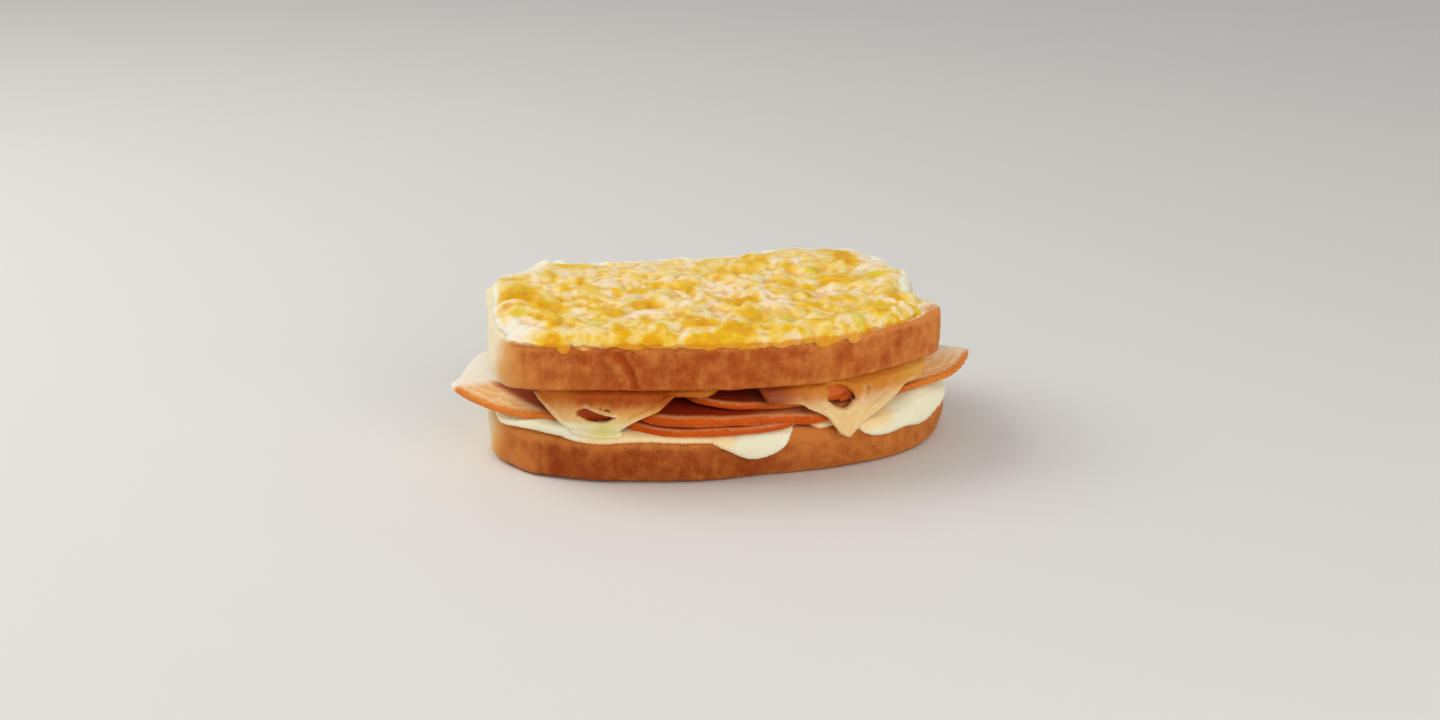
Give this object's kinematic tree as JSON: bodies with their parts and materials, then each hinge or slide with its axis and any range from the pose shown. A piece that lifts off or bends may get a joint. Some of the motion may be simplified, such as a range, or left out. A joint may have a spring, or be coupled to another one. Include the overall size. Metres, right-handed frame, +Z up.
{
  "type": "turkey and cheese toastie",
  "caption": "Toasted sandwich lying flat: grilled cheese on a thick bread slice, melted cheese and folded turkey slices over pale cheese on a lower slice.",
  "frame": {"origin": "middle of the bottom slice's flat underside, on the surface that the toastie lies on", "axes": "+X along the slices' long side, to the right seen from the domed front crust; +Z up; the domed front crust faces -Y"},
  "size_m": [0.16, 0.0945, 0.0471],
  "materials": {
    "crust_lower": "baked loaf crust, tan brown, with paler crumb faces; plastic only stands in for food",
    "crust_upper": "baked loaf crust, golden brown at the front and cream at the sides; plastic only stands in for food",
    "pale_cheese": "smooth cream-white cheese slice, slightly waxy; plastic only stands in for food",
    "turkey": "cooked turkey slice, pale pink-cream faces with an orange-brown rim, moist; plastic only stands in for food",
    "melted_cheese": "melted tan-yellow cheese, glossy and a little translucent; plastic only stands in for food",
    "grilled_cheese": "grated cheese grilled to a lumpy crust, cream with golden yellow patches; plastic only stands in for food"
  },
  "bodies": {
    "root": {"bread_bottom": "crust_lower", "bread_top": "crust_upper", "cheese_lower_left": "pale_cheese", "cheese_lower_right": "pale_cheese", "turkey_lower": "turkey", "turkey_middle": "turkey", "turkey_upper": "turkey", "turkey_left": "turkey", "turkey_right": "turkey", "cheese_melted": "melted_cheese", "cheese_topping": "grilled_cheese"}
  },
  "joints": []
}
